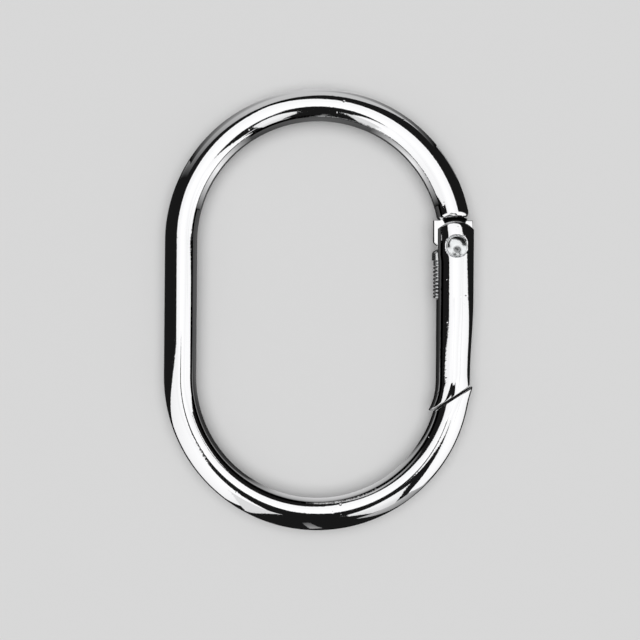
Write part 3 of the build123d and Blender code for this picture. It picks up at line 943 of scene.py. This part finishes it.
# Cards of the soft box round the ring, seen only in the plate: brightness at the middle against
# the white cards, then corners as x, y, z in millimetres and the brightness there. They reach
# below the floor, which the plate doesn't mirror.
CARDS = {
    "far_wall": (0.3, (
        (-93, 172, 95, 0.5), (-230, 130, 110, 0.0), (-290, 150, -250, 0.0),
        (-93, 172, -300, 0.6))),
    "left_wall": (0.6, (
        (1, 44, 11, 0.6), (-93, 172, 95, 0.5), (-93, 172, -300, 0.6), (1, 44, -90, 0.6))),
    "right_wall": (0.55, (
        (1, 44, 11, 0.6), (11, 41, 9, 0.6), (24, 38, 2, 0.5), (33, 42, -11, 0.4),
        (40, 30, -30, 0.2), (40, 30, -60, 0.2), (1, 44, -90, 0.6))),
    "overhead": (1.18, (
        (-63, -10, 109, 1.0), (-59, 37, 79, 1.0), (-41, 61, 66, 1.05), (-25, 79, 57, 1.05),
        (58, 63, 83, 1.05), (125, 27, 118, 0.98), (82, -34, 172, 1.05), (58, -45, 168, 1.05),
        (38, -40, 168, 1.05), (26, -39, 165, 1.05), (13, -28, 158, 1.05), (5, -5, 118, 1.05),
        (-2, -3, 116, 1.05), (-15, -20, 150, 1.05), (-42, -50, 172, 1.05), (-70, -32, 112, 1.0))),
    "left_front": (1.15, (
        (-13, 10, 350, 1.05), (-93, -12, 74, 1.0), (-122, -56, -72, 0.95),
        (-101, -151, -124, 0.95), (-62, -131, 25, 0.95), (-37, -121, 112, 1.0),
        (-33, -104, 148, 1.05), (-36, -80, 168, 1.05), (-43, -54, 182, 1.05),
        (-28, -25, 250, 1.05))),
    "right_front": (1.18, (
        (62, 19, 420, 1.05), (149, 27, 84, 1.05), (152, 12, 41, 1.05), (161, -40, -108, 0.95),
        (136, -90, -115, 0.95), (90, -147, -50, 1.0), (83, -112, 50, 1.05), (85, -87, 95, 1.05),
        (86, -63, 145, 1.05), (80, -36, 200, 1.05))),
    "seam": (0.82, (
        (103, -48, 92, 0.9), (103, 30, 92, 0.9), (107, 30, 89, 0.9), (107, -48, 89, 0.9))),
    "right_strip": (1.05, (
        (16, -82, 84, 0.8), (16, -82, 135, 0.95), (33, -78, 180, 0.95), (43, -76, 174, 0.95),
        (55, -77, 146, 0.95), (54, -86, 60, 0.95), (50, -92, 15, 0.7), (30, -84, 30, 0.8))),
    "right_edge": (0.33, (
        (65, -89, 18, 0.5), (71, -75, -86, 0.2), (53, -85, -87, 0.2), (28, -111, 39, 0.5))),
    "left_strip": (0.8, (
        (-20, -95, 129, 0.8), (-54, -112, -73, 0.7), (-51, -109, -48, 0.8), (-55, -84, 88, 0.8))),
    "front_line": (0.25, (
        (-5, -109, 54, 0.1), (4, -109, -32, 0.3), (-4, -109, -51, 0.4), (-9, -109, 43, 0.1))),
    "floor_inside": (0.08, (
        (15.9, 10.4, -0.1, 0.0), (13.1, 18.2, -0.1, 0.05), (6.8, 23.5, -0.1, 0.06),
        (0.0, 25.0, -0.1, 0.12), (-6.8, 23.5, -0.1, 0.06), (-13.1, 18.2, -0.1, 0.06),
        (-15.9, 10.4, -0.1, 0.1), (-15.9, -10.4, -0.1, 0.1), (-14.5, -15.8, -0.1, 0.02),
        (-8.5, -22.6, -0.1, 0.03), (-4.9, -24.2, -0.1, 0.6), (-0.0, -25.0, -0.1, 0.7),
        (5.5, -24.0, -0.1, 0.7), (10.7, -20.9, -0.1, 0.5), (13.1, -18.2, -0.1, 0.0),
        (15.9, -10.4, -0.1, 0.0))),
    "floor_behind": (0.6, (
        (-17.0, 19.6, -0.1, 0.0), (-13.4, 23.9, -0.1, 0.3), (-6.8, 27.8, -0.1, 0.55),
        (0.0, 29.0, -0.1, 0.6), (6.8, 27.8, -0.1, 0.55), (12.3, 24.8, -0.1, 0.25),
        (15.3, 21.9, -0.1, 0.0), (53.6, 54.0, -0.1, 0.0), (29.6, 72.4, -0.1, 0.5),
        (0.0, 79.0, -0.1, 0.6), (-29.6, 72.4, -0.1, 0.6), (-49.5, 58.5, -0.1, 0.3),
        (-59.4, 46.1, -0.1, 0.0))),
    "rim_light_right": (1.0, upright((12.4, 13.0, 0.0), (10.0, 17.4, 0.8), (5.3, 20.9, 0.1))),
    "rim_back_right": (0.0, upright((11.4, 12.7, 0.0), (9.2, 16.7, 0.0), (4.9, 20.0, 0.0))),
    "rim_light_left": (1.0, upright((-12.6, 12.4, 0.1), (-10.6, 16.5, 1.0), (-7.3, 19.8, 0.1))),
    "rim_back_left": (0.0, upright((-11.6, 12.1, 0.0), (-9.8, 15.9, 0.0), (-6.7, 18.9, 0.0))),
    "gate_fill": (1.18, (
        (11, -11.5, 25, 1.05), (17, -11.5, 25, 1.05), (17, 2, 25, 1.05), (11, 2, 25, 1.05))),
    "flag": (0.0, ((0, -10, 1, 0.0), (0, 10, 1, 0.0), (0, 10, 7, 0.0), (0, -10, 7, 0.0))),
}


def card_material():
    """A glow whose strength is each card's own brightness attribute."""
    tree, output, material = new_material("card_glow")
    share = add_node(tree, "ShaderNodeAttribute", {"attribute_name": "brightness"})
    glow = add_node(tree, "ShaderNodeEmission", (), {"Strength": share.outputs["Fac"]})
    tree.links.new(glow.outputs["Emission"], output.inputs["Surface"])
    return material


def add_card(name, material, brightness, middle, corners):
    """A card as a fan of triangles about its middle, with a brightness at each point. The camera
    and the matt floor don't see it."""
    table = np.array(corners)
    table = np.vstack([table, [*table[:, :3].mean(axis=0), middle]])
    last = len(corners)
    mesh = bpy.data.meshes.new(name)
    fan = [(i, (i + 1) % last, last) for i in range(last)]
    mesh.from_pydata(table[:, :3] * MM, [], fan)
    shares = mesh.attributes.new("brightness", "FLOAT", "POINT")
    shares.data.foreach_set("value", table[:, 3] * brightness)
    mesh.materials.append(material)
    sheet = bpy.data.objects.new(name, mesh)
    sheet.visible_camera = False
    sheet.visible_diffuse = False
    sheet.visible_shadow = False
    bpy.context.scene.collection.objects.link(sheet)


class GATERING_OT_studio(bpy.types.Operator):
    """Set up the floor, the cards, the world and the camera"""

    bl_idname = "gate_ring.studio"
    bl_label = "Studio"

    def execute(self, context):
        scene = context.scene
        studio = scene.gate_ring_studio
        wide = 3000.0                                   # half of the floor's side, millimetres
        aim = (0.159, -1.374)                           # the camera's place over the ring
        unlit = 0.014                                   # of the room behind the cards
        floor_mesh = bpy.data.meshes.new("floor")
        floor_mesh.from_pydata(
            np.array([(-wide, -wide, 0), (wide, -wide, 0), (wide, wide, 0), (-wide, wide, 0)]) * MM,
            [], [(0, 1, 2, 3)])
        tree, output, material = new_material("pale_floor")
        matt = add_node(tree, "ShaderNodeBsdfDiffuse", {"Color": (*studio.floor, 1.0)})
        tree.links.new(matt.outputs["BSDF"], output.inputs["Surface"])
        floor_mesh.materials.append(material)
        floor = bpy.data.objects.new("floor", floor_mesh)
        floor.visible_glossy = False
        scene.collection.objects.link(floor)
        glow = card_material()
        for name, (middle, corners) in CARDS.items():
            add_card(name, glow, studio.card, middle, corners)
        soft_sky = bpy.data.lights.new("overhead_light", "SUN")
        soft_sky.energy = studio.overhead
        soft_sky.angle = 1.0                            # radians, for a soft shadow
        overhead = bpy.data.objects.new("overhead_light", soft_sky)
        overhead.visible_glossy = False
        scene.collection.objects.link(overhead)

        world = bpy.data.worlds.new("studio_world")
        world.use_nodes = True
        tree = world.node_tree
        tree.nodes.clear()
        path = add_node(tree, "ShaderNodeLightPath")
        dark = add_node(tree, "ShaderNodeBackground", {"Strength": unlit})
        soft = add_node(tree, "ShaderNodeBackground", {"Strength": studio.ambient})
        mix = add_node(tree, "ShaderNodeMixShader", (), {"Fac": path.outputs["Is Glossy Ray"]})
        tree.links.new(soft.outputs[0], mix.inputs[1])
        tree.links.new(dark.outputs[0], mix.inputs[2])
        add_node(tree, "ShaderNodeOutputWorld", (), {"Surface": mix.outputs[0]})
        scene.world = world

        eye = bpy.data.cameras.new("camera")
        eye.lens = studio.lens
        eye.clip_start = 1.0 * MM
        camera = bpy.data.objects.new("camera", eye)
        camera.location = (aim[0] * MM, aim[1] * MM, studio.camera_height)
        camera.rotation_euler = (0.0, 0.0, studio.camera_turn)
        scene.collection.objects.link(camera)
        scene.camera = camera
        scene.view_settings.view_transform = "Standard"
        return {"FINISHED"}


class GATERING_PT_panel(bpy.types.Panel):
    """Lists the ring's operators with their sizes and colours"""

    bl_idname = "GATERING_PT_panel"
    bl_label = "Oval Spring Gate Ring"
    bl_space_type = "VIEW_3D"
    bl_region_type = "UI"
    bl_category = "Gate Ring"

    def draw(self, context):
        for operator in OPERATORS:
            self.layout.operator(operator.bl_idname)
        for group in GROUPS:
            box = self.layout.box()
            for name in GROUPS[group].__annotations__:
                box.prop(getattr(context.scene, group), name)


GROUPS = {
    "gate_ring_form": GateRingForm,
    "gate_ring_finish": GateRingFinish,
    "gate_ring_studio": GateRingStudio,
}
OPERATORS = (
    GATERING_OT_wire,
    GATERING_OT_gate,
    GATERING_OT_rivet,
    GATERING_OT_spring,
    GATERING_OT_studio,
)


def register():
    for group in GROUPS:
        bpy.utils.register_class(GROUPS[group])
        setattr(bpy.types.Scene, group, bpy.props.PointerProperty(type=GROUPS[group]))
    for kind in (*OPERATORS, GATERING_PT_panel):
        bpy.utils.register_class(kind)


def unregister():
    for kind in reversed((*OPERATORS, GATERING_PT_panel)):
        bpy.utils.unregister_class(kind)
    for group in reversed(GROUPS):
        delattr(bpy.types.Scene, group)
        bpy.utils.unregister_class(GROUPS[group])


def main():
    """Registers the classes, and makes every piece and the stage."""
    register()
    for operator in OPERATORS:
        getattr(bpy.ops.gate_ring, operator.bl_idname.split(".")[1])()


if __name__ == "__main__":
    main()
